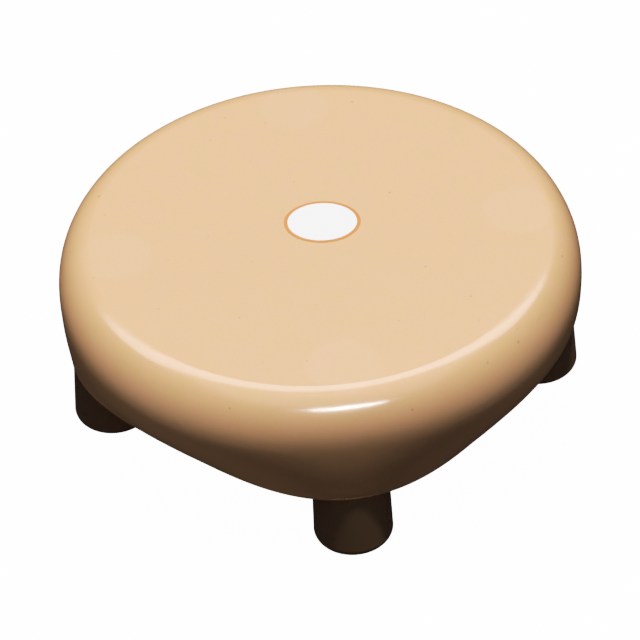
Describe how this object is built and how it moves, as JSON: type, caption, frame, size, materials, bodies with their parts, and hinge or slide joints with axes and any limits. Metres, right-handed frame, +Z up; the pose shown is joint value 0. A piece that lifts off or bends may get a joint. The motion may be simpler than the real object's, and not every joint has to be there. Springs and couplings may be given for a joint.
{
  "type": "shower stool",
  "caption": "Low round plastic bathing stool: flat seat with a soft rolled shoulder, deep skirt that ends in a rounded square, and straight push-in round legs with rubber feet.",
  "frame": {"origin": "on the floor, under the middle of the seat", "axes": "+Z up, -Y towards the front leg, +X towards the right leg"},
  "size_m": [0.32, 0.32, 0.1262],
  "materials": {
    "seat_plastic": "smooth glossy tan moulded plastic",
    "leg_plastic": "smooth tan moulded plastic",
    "pad_rubber": "matt dark rubber",
    "label": "blank satin film label"
  },
  "bodies": {
    "seat": {"seat_shell": "seat_plastic", "label_sticker": "label"},
    "leg_front": {"leg_front": "leg_plastic", "foot_pad_front": "pad_rubber"},
    "leg_right": {"leg_right": "leg_plastic", "foot_pad_right": "pad_rubber"},
    "leg_rear": {"leg_rear": "leg_plastic", "foot_pad_rear": "pad_rubber"},
    "leg_left": {"leg_left": "leg_plastic", "foot_pad_left": "pad_rubber"}
  },
  "joints": [
    {"name": "leg_front_pull", "type": "slide", "parent": "seat", "child": "leg_front", "axis": [0, -0.0314, -0.9995], "range_m": [0, 0.08]},
    {"name": "leg_right_pull", "type": "slide", "parent": "seat", "child": "leg_right", "axis": [0.0314, 0, -0.9995], "range_m": [0, 0.08]},
    {"name": "leg_rear_pull", "type": "slide", "parent": "seat", "child": "leg_rear", "axis": [0, 0.0314, -0.9995], "range_m": [0, 0.08]},
    {"name": "leg_left_pull", "type": "slide", "parent": "seat", "child": "leg_left", "axis": [-0.0314, 0, -0.9995], "range_m": [0, 0.08]}
  ]
}
